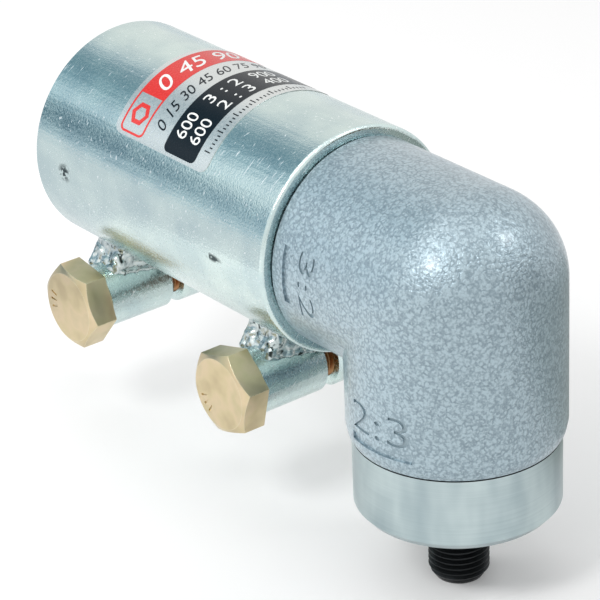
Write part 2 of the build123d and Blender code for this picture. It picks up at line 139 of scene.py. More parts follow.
def colour(code):
    """The linear colour of an sRGB hex value."""
    parts = [int(code[place:place + 2], 16) / 255 for place in (1, 3, 5)]
    linear = [part / 12.92 if part <= 0.04045 else ((part + 0.055) / 1.055) ** 2.4
              for part in parts]
    return (*linear, 1.0)


def per_mm(size):
    """The scale of a pattern whose features are this many millimetres across."""
    return 1 / (size * MM)


def add_node(tree, kind, links, stops=(), **settings):
    """Adds a node with its settings, its links or plain inputs, and the stops of a ramp."""
    node = tree.nodes.new(kind)
    for name, value in settings.items():
        setattr(node, name, value)
    for place, (position, shade) in enumerate(stops):
        if place > 1:
            node.color_ramp.elements.new(position)
        stop = node.color_ramp.elements[place]
        stop.position = position
        stop.color = colour(shade)
    for name, source in links.items():
        if isinstance(source, bpy.types.NodeSocket):
            tree.links.new(source, node.inputs[name])
        else:
            node.inputs[name].default_value = source
    return node


# Camera, at the photograph's place
def place_camera():
    place = Vector((0.516314, -0.351335, 0.266169))
    azimuth = radians(52.334)
    elevation = radians(26.53)
    roll = radians(-2.33)
    back = Vector((sin(azimuth) * cos(elevation), -cos(azimuth) * cos(elevation), sin(elevation)))
    level = Vector((cos(azimuth), sin(azimuth), 0))
    steep = back.cross(level)
    right = level * cos(roll) + steep * sin(roll)
    up = steep * cos(roll) - level * sin(roll)
    bpy.ops.object.camera_add()
    camera = bpy.context.object
    camera.name = "photograph_camera"
    turn = Matrix((right, up, back)).transposed().to_4x4()
    camera.matrix_world = Matrix.Translation(place) @ turn
    camera.data.sensor_width = 36
    camera.data.lens = 181.33
    camera.data.shift_x = -0.00207
    camera.data.shift_y = 0.0002
    camera.data.clip_start = 0.01
    bpy.context.scene.camera = camera


# Studio: a white world, a white floor under the spindle, soft lamps and printed cards
def white_to_the_eye(tree):
    """1 where the camera, a reflection or a glass looks straight at it, and 0 elsewhere."""
    path = add_node(tree, "ShaderNodeLightPath", {})
    seen = add_node(tree, "ShaderNodeMath", {0: path.outputs["Is Camera Ray"],
                                             1: path.outputs["Is Glossy Ray"]}, operation="ADD")
    return add_node(tree, "ShaderNodeMath", {0: seen.outputs[0],
                                             1: path.outputs["Is Transmission Ray"]},
                    operation="ADD", use_clamp=True).outputs[0]


def light_studio():
    room_light = 0.58
    floor_glow = 0.08
    floor_size = 6

    world = bpy.data.worlds.new("white_room")
    bpy.context.scene.world = world
    world.use_nodes = True
    tree = world.node_tree
    tree.nodes.clear()
    strength = add_node(tree, "ShaderNodeMapRange", {"Value": white_to_the_eye(tree),
                                                     "To Min": room_light, "To Max": 1.0})
    shade = add_node(tree, "ShaderNodeBackground", {"Color": colour("#FFFFFF"),
                                                    "Strength": strength.outputs["Result"]})
    add_node(tree, "ShaderNodeOutputWorld", {"Surface": shade.outputs[0]})

    bpy.ops.mesh.primitive_plane_add(size=floor_size, location=(elbow.x, 0, floor_height))
    floor = bpy.context.object
    floor.name = "studio_floor"
    material = bpy.data.materials.new("white_floor")
    material.use_nodes = True
    tree = material.node_tree
    glow = add_node(tree, "ShaderNodeMath", {0: white_to_the_eye(tree), 1: floor_glow},
                    operation="MULTIPLY")
    shader = tree.nodes["Principled BSDF"]
    shader.inputs["Base Color"].default_value = colour("#F2F2F2")
    shader.inputs["Roughness"].default_value = 0.9
    shader.inputs["Specular IOR Level"].default_value = 0.0
    shader.inputs["Emission Color"].default_value = colour("#FFFFFF")
    tree.links.new(glow.outputs[0], shader.inputs["Emission Strength"])
    floor.data.materials.append(material)

    # Each lamp's place, size and power, and whether metal mirrors it. The side lamp lights
    # paint and print, and leaves no spot of its own in the plate.
    for name, place, size, power, mirrored in (
        ("overhead_lamp", (0.12, -0.2, 0.95), 0.8, 1.7, True),
        ("front_lamp", (0.22, -0.685, 0.72), 0.22, 2.7, True),
        ("back_lamp", (0.55, 0.51, 0.74), 0.22, 1.4, True),
        ("side_lamp", (-0.5, -0.47, 0.18), 0.5, 3.8, False),
    ):
        bpy.ops.object.light_add(type="AREA", location=place)
        lamp = bpy.context.object
        lamp.name = name
        lamp.data.size = size
        lamp.data.energy = power
        lamp.visible_glossy = mirrored
        lamp.rotation_euler = (elbow - lamp.location).to_track_quat("-Z", "Y").to_euler()


def reflection_card(name, size, place, turn):
    """A glowing sheet that only reflections see; returns its shader."""
    bpy.ops.mesh.primitive_plane_add(size=size, location=place, rotation=turn)
    card = bpy.context.object
    card.name = name
    bpy.ops.object.transform_apply(location=True, rotation=True, scale=True)
    for ray in ("camera", "diffuse", "transmission", "volume_scatter", "shadow"):
        setattr(card, f"visible_{ray}", False)
    material = bpy.data.materials.new(f"{name}_print")
    material.use_nodes = True
    tree = material.node_tree
    tree.nodes.clear()
    glow = add_node(tree, "ShaderNodeEmission", {"Strength": 1.0})
    add_node(tree, "ShaderNodeOutputMaterial", {"Surface": glow.outputs[0]})
    material.cycles.emission_sampling = "NONE"
    card.data.materials.append(material)
    return glow


def hang_cards():
    """A sheet with soft bands left of the part, a dark one behind it, and two laid flat."""
    left_brightness = 1.25
    near_part, far_part = 0.87, 0.914

    glow = reflection_card("left_card", 2.4, (-0.6, 0, 0), (0, pi / 2, 0))
    tree = glow.id_data
    place = add_node(tree, "ShaderNodeTexCoord", {})
    parts = add_node(tree, "ShaderNodeSeparateXYZ", {0: place.outputs["Object"]})
    front = add_node(tree, "ShaderNodeMath", {0: parts.outputs["Y"], 1: -1.0},
                     operation="MULTIPLY")
    # The bands follow the angle up from the front, as seen from the sleeve
    angle = add_node(tree, "ShaderNodeMath", {0: parts.outputs["Z"], 1: front.outputs[0]},
                     operation="ARCTAN2")
    share = add_node(tree, "ShaderNodeMapRange", {
        "Value": angle.outputs[0], "From Min": radians(-20), "From Max": radians(110),
    })
    rear_bands = add_node(tree, "ShaderNodeValToRGB", {0: share.outputs["Result"]}, stops=(
        (0.08, "#C4CFD8"), (0.16, "#A4B8C4"), (0.22, "#4A6776"), (0.32, "#4A6877"),
        (0.39, "#7F9DAC"), (0.46, "#CADBE6"), (0.52, "#95AFBC"), (0.60, "#84A2AE"),
        (0.70, "#6A8895"), (0.79, "#73909B"), (0.87, "#9AABB4"), (0.94, "#CDD3D7"),
        (1.0, "#E0DFDD"),
    ))
    front_bands = add_node(tree, "ShaderNodeValToRGB", {0: share.outputs["Result"]}, stops=(
        (0.08, "#D2D9E0"), (0.16, "#C7D5DD"), (0.24, "#A2BAC8"), (0.31, "#DAEAF4"),
        (0.38, "#FBFFFF"), (0.50, "#FFFFFF"), (0.57, "#D6E5ED"), (0.64, "#9AB3C0"),
        (0.70, "#7B98A5"), (0.81, "#6F8B97"), (0.89, "#8499A3"), (0.96, "#BCC4C8"),
        (1.0, "#E2E0DE"),
    ))
    # The sleeve's rear end sees the nearer part of the sheet
    away = add_node(tree, "ShaderNodeVectorMath", {0: place.outputs["Object"]},
                    operation="LENGTH")
    fade = add_node(tree, "ShaderNodeMapRange", {
        "Value": away.outputs["Value"], "From Min": near_part, "From Max": far_part,
    })
    bands = add_node(tree, "ShaderNodeMix", {
        0: fade.outputs["Result"], 6: rear_bands.outputs["Color"],
        7: front_bands.outputs["Color"],
    }, data_type="RGBA")
    tree.links.new(bands.outputs[2], glow.inputs["Color"])
    glow.inputs["Strength"].default_value = left_brightness

    level = (0, 0, 0)
    for name, size, place, turn, shade in (
        ("right_card", 0.32, (0.50, 0.28, -0.03), (0, -pi / 2, radians(33)), "#5A5047"),
        ("right_floor_card", 0.3, (0.20, 0.21, floor_height + MM), level, "#A0A6A2"),
        ("left_floor_card", 0.7, (-0.395, -0.25, floor_height + MM), level, "#EAECF0"),
    ):
        glow = reflection_card(name, size, place, turn)
        glow.inputs["Color"].default_value = colour(shade)


# Materials
def new_material(name, shade, metallic, roughness):
    """A material with its shader's plain values: it, its tree, its shader, its place socket."""
    material = bpy.data.materials.new(name)
    material.use_nodes = True
    tree = material.node_tree
    shader = tree.nodes["Principled BSDF"]
    shader.inputs["Base Color"].default_value = colour(shade)
    shader.inputs["Metallic"].default_value = metallic
    shader.inputs["Roughness"].default_value = roughness
    place = add_node(tree, "ShaderNodeTexCoord", {}).outputs["Object"]
    return material, tree, shader, place


def zinc_plated_steel():
    """Bright zinc plate on drawn tube: a pale, faintly blue mirror, broken up by fine crystals,
    streaks along the tube, scratches and nicks."""
    material, tree, shader, place = new_material("zinc_plated_steel", "#D3DAD7", 1.0, 0.3)
    # Real crystals are finer; they are drawn this coarse so that their sparkle shows
    crystals = add_node(tree, "ShaderNodeTexNoise", {"Vector": place, "Scale": per_mm(0.45),
                                                     "Detail": 2.0})
    drawn = add_node(tree, "ShaderNodeMapping", {"Vector": place, "Scale": (0.06, 1.0, 1.0)})
    streaks = add_node(tree, "ShaderNodeTexNoise", {"Vector": drawn.outputs[0],
                                                    "Scale": per_mm(1.1), "Detail": 1.0})
    clouds = add_node(tree, "ShaderNodeTexNoise", {"Vector": place, "Scale": per_mm(9.0),
                                                   "Detail": 3.0})
    tint = add_node(tree, "ShaderNodeValToRGB", {0: clouds.outputs["Fac"]},
                    stops=((0.35, "#C4D6D7"), (0.65, "#D6E6E3"))).outputs["Color"]
    # A few fine scratches run round the sleeve on the side that is handled
    around = add_node(tree, "ShaderNodeMapping", {
        "Vector": place, "Scale": (1.0, 1.0, 12.0), "Rotation": (radians(-45), radians(8), 0.0),
    }, vector_type="TEXTURE")
    rubbed = add_node(tree, "ShaderNodeTexNoise", {"Vector": around.outputs[0],
                                                   "Scale": per_mm(0.45), "Detail": 1.0})
    scratches = add_node(tree, "ShaderNodeMapRange", {
        "Value": rubbed.outputs["Fac"], "From Min": 0.68, "From Max": 0.75,
    })
    tint = add_node(tree, "ShaderNodeMix", {
        0: scratches.outputs["Result"], 6: tint, 7: colour("#F6FBFB"),
    }, data_type="RGBA").outputs[2]
    # Each nick is a ragged dark patch: its middle and reach in millimetres, and how far drawn out
    rags = add_node(tree, "ShaderNodeTexNoise", {"Vector": place, "Scale": per_mm(1.3),
                                                 "Detail": 3.0, "Distortion": 1.0})
    scars = add_node(tree, "ShaderNodeMapRange", {
        "Value": rags.outputs["Fac"], "From Min": 0.44, "From Max": 0.50,
    })
    for middle, reach, drawn_out in (((11.0, -24.7, 0.0), 2.5, 1.0),
                                     ((64.0, -24.6, -1.8), 1.1, 3.0)):
        local = add_node(tree, "ShaderNodeMapping", {
            "Vector": place, "Location": Vector(middle) * MM, "Scale": (drawn_out, 1.0, 1.0),
        }, vector_type="TEXTURE")
        away = add_node(tree, "ShaderNodeVectorMath", {0: local.outputs[0]}, operation="LENGTH")
        near = add_node(tree, "ShaderNodeMapRange", {
            "Value": away.outputs["Value"], "From Min": reach * 0.4 * MM, "From Max": reach * MM,
            "To Min": 1.0, "To Max": 0.0,
        })
        nick = add_node(tree, "ShaderNodeMath", {0: near.outputs["Result"],
                                                 1: scars.outputs["Result"]},
                        operation="MULTIPLY")
        tint = add_node(tree, "ShaderNodeMix", {0: nick.outputs[0], 6: tint,
                                                7: colour("#3C4A4C")},
                        data_type="RGBA").outputs[2]
    tree.links.new(tint, shader.inputs["Base Color"])
    # The crystals vary the gloss, and the scratches are duller
    gloss = add_node(tree, "ShaderNodeMapRange", {
        "Value": crystals.outputs["Fac"], "From Min": 0.35, "From Max": 0.65,
        "To Min": 0.17, "To Max": 0.29,
    })
    dulled = add_node(tree, "ShaderNodeMath", {0: scratches.outputs["Result"], 1: 0.25,
                                               2: gloss.outputs["Result"]},
                      operation="MULTIPLY_ADD")
    tree.links.new(dulled.outputs[0], shader.inputs["Roughness"])
    grain = add_node(tree, "ShaderNodeMath", {0: crystals.outputs["Fac"],
                                              1: streaks.outputs["Fac"]}, operation="ADD")
    relief = add_node(tree, "ShaderNodeBump", {"Height": grain.outputs[0],
                                               "Distance": 0.04 * MM})
    tree.links.new(relief.outputs["Normal"], shader.inputs["Normal"])
    return material


def plated_weld():
    """Zinc plate over a weld run: brighter and glassier than the tube, with dark slag pits."""
    material, tree, shader, place = new_material("plated_weld", "#C9D3D2", 1.0, 0.26)
    lumps = add_node(tree, "ShaderNodeTexNoise", {"Vector": place, "Scale": per_mm(1.9),
                                                  "Detail": 1.0})
    pits = add_node(tree, "ShaderNodeTexNoise", {"Vector": place, "Scale": per_mm(2.0),
                                                 "Detail": 2.0, "Distortion": 1.5})
    tint = add_node(tree, "ShaderNodeValToRGB", {0: pits.outputs["Fac"]}, stops=(
        (0.33, "#2E3634"), (0.40, "#A9B6B6"), (0.5, "#C6D1D1"), (0.7, "#DDE3E0"),
    ))
    tree.links.new(tint.outputs["Color"], shader.inputs["Base Color"])
    relief = add_node(tree, "ShaderNodeBump", {"Height": lumps.outputs["Fac"],
                                               "Distance": 0.25 * MM})
    tree.links.new(relief.outputs["Normal"], shader.inputs["Normal"])
    return material


def yellow_zinc():
    """Yellow chromate over zinc: tan to olive, with the faint pink and green of its thin film."""
    material, tree, shader, place = new_material("yellow_zinc", "#C9B892", 1.0, 0.32)
    film = add_node(tree, "ShaderNodeTexNoise", {"Vector": place, "Scale": per_mm(6.0),
                                                 "Detail": 2.0})
    tint = add_node(tree, "ShaderNodeValToRGB", {0: film.outputs["Fac"]}, stops=(
        (0.3, "#C6B592"), (0.45, "#D3C39D"), (0.55, "#D9C6A5"), (0.7, "#CCBE99"),
    ))
    tree.links.new(tint.outputs["Color"], shader.inputs["Base Color"])
    grain = add_node(tree, "ShaderNodeTexNoise", {"Vector": place, "Scale": per_mm(0.5),
                                                  "Detail": 3.0})
    relief = add_node(tree, "ShaderNodeBump", {"Height": grain.outputs["Fac"],
                                               "Distance": 0.012 * MM})
    tree.links.new(relief.outputs["Normal"], shader.inputs["Normal"])
    return material


def hammered_paint():
    """Hammer finish enamel: aluminium flake that draws together into soft dimples, with broken
    darker lines where they meet and a fine glitter between."""
    shades = ("#7D909A", "#8DA0AA", "#9DB0B9", "#AABEC7")
    material, tree, shader, place = new_material("hammered_paint", shades[-1], 0.5, 0.34)
    drift = add_node(tree, "ShaderNodeTexNoise", {"Vector": place, "Scale": per_mm(0.8),
                                                  "Detail": 2.0})
    spread = add_node(tree, "ShaderNodeVectorMath", {0: drift.outputs["Color"],
                                                     1: (0.5, 0.5, 0.5)}, operation="SUBTRACT")
    reach = add_node(tree, "ShaderNodeVectorMath", {0: spread.outputs[0], "Scale": 0.9 * MM},
                     operation="SCALE")
    moved = add_node(tree, "ShaderNodeVectorMath", {0: place, 1: reach.outputs[0]},
                     operation="ADD")
    dimples = add_node(tree, "ShaderNodeTexVoronoi", {"Vector": moved.outputs[0],
                                                      "Scale": per_mm(1.1)},
                       feature="DISTANCE_TO_EDGE")
    lines = add_node(tree, "ShaderNodeMapRange", {
        "Value": dimples.outputs["Distance"], "From Min": 0.0, "From Max": 0.26,
    })
    gaps = add_node(tree, "ShaderNodeTexNoise", {"Vector": place, "Scale": per_mm(1.2),
                                                 "Detail": 2.0})
    breaks = add_node(tree, "ShaderNodeMapRange", {
        "Value": gaps.outputs["Fac"], "From Min": 0.38, "From Max": 0.66,
    })
    broken = add_node(tree, "ShaderNodeMath", {0: lines.outputs["Result"],
                                               1: breaks.outputs["Result"]},
                      operation="MAXIMUM")
    glitter = add_node(tree, "ShaderNodeTexNoise", {"Vector": place, "Scale": per_mm(0.5),
                                                    "Detail": 2.0})
    level = add_node(tree, "ShaderNodeMath", {0: broken.outputs[0], 1: 0.5,
                                              2: glitter.outputs["Fac"]},
                     operation="MULTIPLY_ADD")
    tint = add_node(tree, "ShaderNodeValToRGB", {0: level.outputs[0]},
                    stops=tuple(zip((0.42, 0.70, 0.88, 1.0), shades)))
    tree.links.new(tint.outputs["Color"], shader.inputs["Base Color"])
    relief = add_node(tree, "ShaderNodeBump", {"Height": level.outputs[0],
                                               "Distance": 0.13 * MM})
    tree.links.new(relief.outputs["Normal"], shader.inputs["Normal"])
    shader.inputs["Coat Weight"].default_value = 0.55
    shader.inputs["Coat Roughness"].default_value = 0.2
    return material


def turned_aluminium(name, along):
    """Fine turned aluminium alloy: feed rings round the shaft, under soft streaks along it that are
    partly a bloom of handling and partly painted reflection.

    The scale is 1 along the shaft and almost 0 the two other ways. A real feed is finer; its
    rings are drawn this coarse so that they show."""
    material, tree, shader, place = new_material(name, "#B9C6CC", 1.0, 0.33)
    rings_place = add_node(tree, "ShaderNodeMapping", {"Vector": place, "Scale": along})
    rings = add_node(tree, "ShaderNodeTexNoise", {"Vector": rings_place.outputs[0],
                                                  "Scale": per_mm(0.35), "Detail": 1.0})
    # Lighter and darker streaks along the shaft: partly a bloom of handling, partly painted
    # reflection
    streak_stretch = [0.35 if share == 1.0 else 1.0 for share in along]
    bloom_and_streaks_place = add_node(tree, "ShaderNodeMapping", {"Vector": place, "Scale": streak_stretch})
    bloom_and_painted_streaks = add_node(tree, "ShaderNodeTexNoise", {"Vector": bloom_and_streaks_place.outputs[0],
                                                  "Scale": per_mm(7.0), "Detail": 2.0})
    ringed = add_node(tree, "ShaderNodeMath", {0: rings.outputs["Fac"], 1: 0.2,
                                               2: bloom_and_painted_streaks.outputs["Fac"]},
                      operation="MULTIPLY_ADD")
    tint = add_node(tree, "ShaderNodeValToRGB", {0: ringed.outputs[0]},
                    stops=((0.42, "#9FAFB3"), (0.78, "#BCCACB")))
    tree.links.new(tint.outputs["Color"], shader.inputs["Base Color"])
    relief = add_node(tree, "ShaderNodeBump", {"Height": rings.outputs["Fac"],
                                               "Distance": 0.008 * MM})
    tree.links.new(relief.outputs["Normal"], shader.inputs["Normal"])
    return material


def plain_finish(name, shade, metallic, roughness, grain_mm, depth_mm):
    """A finish whose only pattern is an even grain in its gloss and its surface.

    A real grain is finer; it is drawn as coarse as it needs to be to show."""
    material, tree, shader, place = new_material(name, shade, metallic, roughness)
    grain = add_node(tree, "ShaderNodeTexNoise", {"Vector": place, "Scale": per_mm(grain_mm),
                                                  "Detail": 3.0})
    gloss = add_node(tree, "ShaderNodeMapRange", {
        "Value": grain.outputs["Fac"], "From Min": 0.3, "From Max": 0.7,
        "To Min": roughness * 0.75, "To Max": roughness * 1.25,
    })
    tree.links.new(gloss.outputs["Result"], shader.inputs["Roughness"])
    relief = add_node(tree, "ShaderNodeBump", {"Height": grain.outputs["Fac"],
                                               "Distance": depth_mm * MM})
    tree.links.new(relief.outputs["Normal"], shader.inputs["Normal"])
    return material


# Modelling steps that several pieces share
def take(piece):
    """Makes a piece the one that operators act on."""
    bpy.ops.object.select_all(action="DESELECT")
    piece.select_set(True)
    bpy.context.view_layer.objects.active = piece


def copy_of(node, name):
    """A copy of a CAD node under a new name, bare, merged and with its flat faces made whole."""
    piece = bpy.data.objects.new(name, frame["nodes"][node].data.copy())
    bpy.context.collection.objects.link(piece)
    piece.data.materials.clear()
    take(piece)
    bpy.ops.object.mode_set(mode="EDIT")
    bpy.ops.mesh.select_all(action="SELECT")
    bpy.ops.mesh.customdata_custom_splitnormals_clear()
    bpy.ops.mesh.remove_doubles(threshold=0.001 * MM)
    bpy.ops.mesh.dissolve_limited(angle_limit=radians(0.5))
    bpy.ops.object.mode_set(mode="OBJECT")
    return piece


def cut_off(piece, place, beyond):
    """Cuts a piece at a plane, closes it, and drops what lies beyond."""
    take(piece)
    bpy.ops.object.mode_set(mode="EDIT")
    bpy.ops.mesh.select_all(action="SELECT")
    bpy.ops.mesh.bisect(plane_co=place, plane_no=beyond, use_fill=True, clear_outer=True,
                        threshold=cut_threshold)
    bpy.ops.object.mode_set(mode="OBJECT")


def apply_modifier(piece, name, kind, **settings):
    take(piece)
    modifier = piece.modifiers.new(name, kind)
    for key, value in settings.items():
        setattr(modifier, key, value)
    bpy.ops.object.modifier_apply(modifier=name)


def join(pieces):
    """Joins pieces into the first of them."""
    take(pieces[0])
    for piece in pieces:
        piece.select_set(True)
    bpy.ops.object.join()
    return pieces[0]


def settle_place(piece):
    """Puts a piece's place, turn and size into its mesh."""
    take(piece)
    bpy.ops.object.transform_apply(location=True, rotation=True, scale=True)


def tidy_faces(piece):
    """Merges a piece's doubled corners and turns its faces outwards."""
    take(piece)
    bpy.ops.object.mode_set(mode="EDIT")
    bpy.ops.mesh.select_all(action="SELECT")
    bpy.ops.mesh.remove_doubles(threshold=0.002 * MM)
    bpy.ops.mesh.normals_make_consistent(inside=False)
    bpy.ops.object.mode_set(mode="OBJECT")


def stamp(piece, tool):
    """Presses a tool's shape into a piece; the pressed faces keep the tool's finish."""
    apply_modifier(piece, "stamp", "BOOLEAN", operation="DIFFERENCE", solver="MANIFOLD",
                   object=tool, material_mode="TRANSFER")
    bpy.data.objects.remove(tool)


def keep(piece, body, slot, replaced=(), angle=30):
    """Finishes a piece: its place goes into its mesh, and it rides on its body."""
    settle_place(piece)
    bpy.ops.object.shade_smooth_by_angle(angle=radians(angle))
    if not piece.data.materials:
        piece.data.materials.append(finishes[slot])
    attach(piece, body)
    if replaced:
        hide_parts(*replaced)


def trace(name, points):
    """An open line through these points, drawn on from a plane merged to one corner."""
    bpy.ops.object.select_all(action="DESELECT")
    bpy.ops.mesh.primitive_plane_add(size=MM)
    piece = bpy.context.object
    piece.name = name
    bpy.ops.object.mode_set(mode="EDIT")
    bpy.ops.mesh.select_all(action="SELECT")
    bpy.ops.mesh.merge(type="CENTER")
    bpy.ops.transform.translate(value=points[0])
    for here, there in zip(points, points[1:]):
        step = Vector(there) - Vector(here)
        bpy.ops.mesh.extrude_region_move(TRANSFORM_OT_translate={"value": step})
    bpy.ops.object.mode_set(mode="OBJECT")
    return piece


def threaded_rod(name, crest, pitch, depth, length, start_taper, tip_taper):
    """A right hand thread that stands on the origin along +Z, with a tapered start and tip.

    A taper is how far the surface is drawn in at the end, and over what length."""
    # Half of the spare turns hang below the start, and both ends are cut off
    spare_turns = 3
    root = crest - depth
    profile = [(root, 0, 0), (root, 0, rise_start * pitch), (crest, 0, crest_start * pitch),
               (crest, 0, crest_end * pitch), (root, 0, fall_end * pitch), (root, 0, pitch)]
    rod = trace(name, [Vector(point) * MM for point in profile])
    apply_modifier(rod, "helix", "SCREW", axis="Z", angle=2 * pi, screw_offset=pitch * MM,
                   iterations=int(length / pitch) + spare_turns, steps=48, render_steps=48)
    rod.location = (0, 0, -spare_turns / 2 * pitch * MM)
    bpy.ops.object.transform_apply(location=True)
    tidy_faces(rod)
    cut_off(rod, (0, 0, 0), (0, 0, -1))
    cut_off(rod, (0, 0, length * MM), (0, 0, 1))
    start_drop, start_length = start_taper
    tip_drop, tip_length = tip_taper
    for corner in rod.data.vertices:
        here = corner.co
        limit = crest * MM
        limit -= max(0, 1 - here.z / MM / start_length) * start_drop * MM
        limit -= max(0, 1 - (length - here.z / MM) / tip_length) * tip_drop * MM
        radius = hypot(here.x, here.y)
        if radius > limit:
            here.x *= limit / radius
            here.y *= limit / radius
    tidy_faces(rod)
    return rod


# Flat prints and marks, and the round surfaces that they are bent to
def round_surface(middle, zero, quarter, up):
    """A round surface, from a point on its axis, the ways to angle 0 and a quarter turn, and up."""
    return Matrix.Translation(middle) @ Matrix((zero, quarter, up)).transposed().to_4x4()


def bend_round(piece, surface, radius, angle, slant=0.0):
    """Slices a flat piece and bends it round: x runs round, y along the axis and z outwards.

    A slant lets the rows climb as they run round."""
    strip = 0.8 * MM
    settle_place(piece)
    across = [corner.co.x for corner in piece.data.vertices]
    bpy.ops.object.mode_set(mode="EDIT")
    line = min(across) + strip
    while line < max(across):
        bpy.ops.mesh.select_all(action="SELECT")
        bpy.ops.mesh.bisect(plane_co=(line, 0, 0), plane_no=(1, 0, 0), threshold=cut_threshold)
        line += strip
    bpy.ops.object.mode_set(mode="OBJECT")
    for corner in piece.data.vertices:
        x, y, z = corner.co
        turn = angle + x / radius
        out = radius + z
        corner.co = surface @ Vector((out * cos(turn), out * sin(turn), y + x * tan(slant)))
    tidy_faces(piece)


def thicken(piece, thickness, border=0):
    """Gives a flat face a thickness, after cutting its middle out where it is only a border."""
    take(piece)
    bpy.ops.object.mode_set(mode="EDIT")
    bpy.ops.mesh.select_all(action="SELECT")
    if border:
        bpy.ops.mesh.inset(thickness=border * MM)
        bpy.ops.mesh.delete(type="FACE")
        bpy.ops.mesh.select_all(action="SELECT")
    bpy.ops.mesh.extrude_region_move(TRANSFORM_OT_translate={"value": (0, 0, thickness * MM)})
    bpy.ops.mesh.select_all(action="SELECT")
    bpy.ops.mesh.normals_make_consistent(inside=False)
    bpy.ops.object.mode_set(mode="OBJECT")
    return piece


def plate(name, long, tall, place, thickness, corner=0, border=0):
    """A flat plate, in millimetres, resting on z = 0, with rounded corners if asked."""
    bpy.ops.object.select_all(action="DESELECT")
    bpy.ops.mesh.primitive_plane_add(size=1, location=(place[0] * MM, place[1] * MM, 0))
    piece = bpy.context.object
    piece.name = name
    piece.scale = (long * MM, tall * MM, 1)
    bpy.ops.object.transform_apply(location=False, rotation=False, scale=True)
    if corner:
        bpy.ops.object.mode_set(mode="EDIT")
        bpy.ops.mesh.select_all(action="SELECT")
        bpy.ops.mesh.bevel(offset=corner * MM, segments=6, affect="VERTICES")
        bpy.ops.object.mode_set(mode="OBJECT")
    return thicken(piece, thickness, border)


def hexagon_ring(name, radius, border, place, thickness):
    """A flat hexagon ring, the plain sign of a nut."""
    bpy.ops.object.select_all(action="DESELECT")
    bpy.ops.mesh.primitive_circle_add(vertices=6, radius=radius * MM, fill_type="NGON",
                                      location=(place[0] * MM, place[1] * MM, 0))
    piece = bpy.context.object
    piece.name = name
    return thicken(piece, thickness, border)


def figures(name, words, long, tall, place, thickness, lean=0.0, weight=0.0):
    """Figures scaled to a length and height about their middle, in millimetres, on z = 0.

    They are set a metre high first, because tiny letters lose corners. A weight is that much
    stroke more on each side."""
    bpy.ops.object.select_all(action="DESELECT")
    bpy.ops.object.text_add()
    piece = bpy.context.object
    piece.name = name
    piece.data.body = words
    piece.data.size = 1.0
    piece.data.shear = lean
    piece.data.offset = weight
    piece.data.extrude = 0.05
    bpy.ops.object.convert(target="MESH")
    piece = bpy.context.object
    tidy_faces(piece)
    low, high = (Vector([reached(corner.co[axis] for corner in piece.data.vertices)
                         for axis in range(3)]) for reached in (min, max))
    wanted = Vector((long, tall, thickness)) * MM
    stretch = [there / here for there, here in zip(wanted, high - low)]
    middle = Vector(((low.x + high.x) / 2, (low.y + high.y) / 2, low.z))
    piece.data.transform(Matrix.Translation(Vector((*place, 0)) * MM)
                         @ Matrix.Diagonal((*stretch, 1)) @ Matrix.Translation(-middle))
    return piece


# Output spindle: the CAD shaft with a real thread in place of its plain end
def output_spindle():
    overlap = 0.3
    start_taper, tip_taper = (0.8, 1.35), (1.35, 2.0)
    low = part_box("output_spindle")[0].z / MM
    shaft = copy_of("output_spindle", "output_spindle_threaded")
    cut_off(shaft, (elbow.x, 0, (spindle_thread_start - overlap) * MM), (0, 0, -1))
    rod = threaded_rod("output_thread", spindle_crest, spindle_pitch, spindle_depth,
                       spindle_thread_start - low, start_taper, tip_taper)
    rod.rotation_euler = (pi, 0, 0)
    rod.location = (elbow.x, 0, spindle_thread_start * MM)
    settle_place(rod)
    keep(join([shaft, rod]), "output_shaft", "black_oxide_steel", ["output_spindle"])


# Housing: the CAD casting with a speed ratio cut over each groove, in thin strokes
def marked_housing():
    thin_strokes = -0.012
    mark_depth = 0.4
    tool_height = 1.0
    housing = copy_of("angle_housing", "angle_housing_marked")
    housing.data.materials.append(finishes["hammered_paint"])
    input_side = round_surface((elbow.x, 0, 0), (0, -1, 0), (0, 0, -1), (1, 0, 0))
    output_side = round_surface((elbow.x, 0, 0), (1, 0, 0), (0, 1, 0), (0, 0, 1))
    for name, words, long, tall, up, surface, angle in (
        ("input_mark", "3:2", 14.0, 4.6, -19.4, input_side, radians(-1.5)),
        ("output_mark", "2:3", 15.5, 6.4, -21.9, output_side, radians(-86)),
    ):
        mark = figures(name, words, long, tall, (0, up), tool_height, weight=thin_strokes)
        # The cut faces take a darker finish: painted shade in the strokes
        mark.data.materials.append(finishes["marks_painted_shade"])
        bend_round(mark, surface, arm_radius - mark_depth * MM, angle)
        stamp(housing, mark)
    keep(housing, "head", "hammered_paint", ["angle_housing"])


# Output box: the CAD box with a fine relief groove where its band meets the casting
def grooved_box():
    tool_proud = 0.2
    tool_lap = 0.05
    box = copy_of("output_bearing_box", "output_bearing_box_grooved")
    box.data.materials.append(finishes["turned_aluminium"])
    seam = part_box("angle_housing")[0].z / MM
    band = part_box("output_bearing_box")[1].y / MM
    inner, outer = band - groove_depth, band + tool_proud
    bottom, top = seam - groove_height, seam + tool_lap
    section = ((inner, bottom), (outer, bottom), (outer, top), (inner, top), (inner, bottom))
    cutter = trace("groove_cutter", [Vector((out, 0, up)) * MM for out, up in section])
    apply_modifier(cutter, "turn", "SCREW", axis="Z", angle=2 * pi, screw_offset=0, steps=128,
                   render_steps=128, use_merge_vertices=True)
    cutter.location = (elbow.x, 0, 0)
    bpy.ops.object.transform_apply(location=True)
    tidy_faces(cutter)
    # The groove's faces take a near black finish: painted shade along the seam
    cutter.data.materials.append(finishes["seam_painted_shade"])
    stamp(box, cutter)
    keep(box, "head", "turned_aluminium", ["output_bearing_box"])


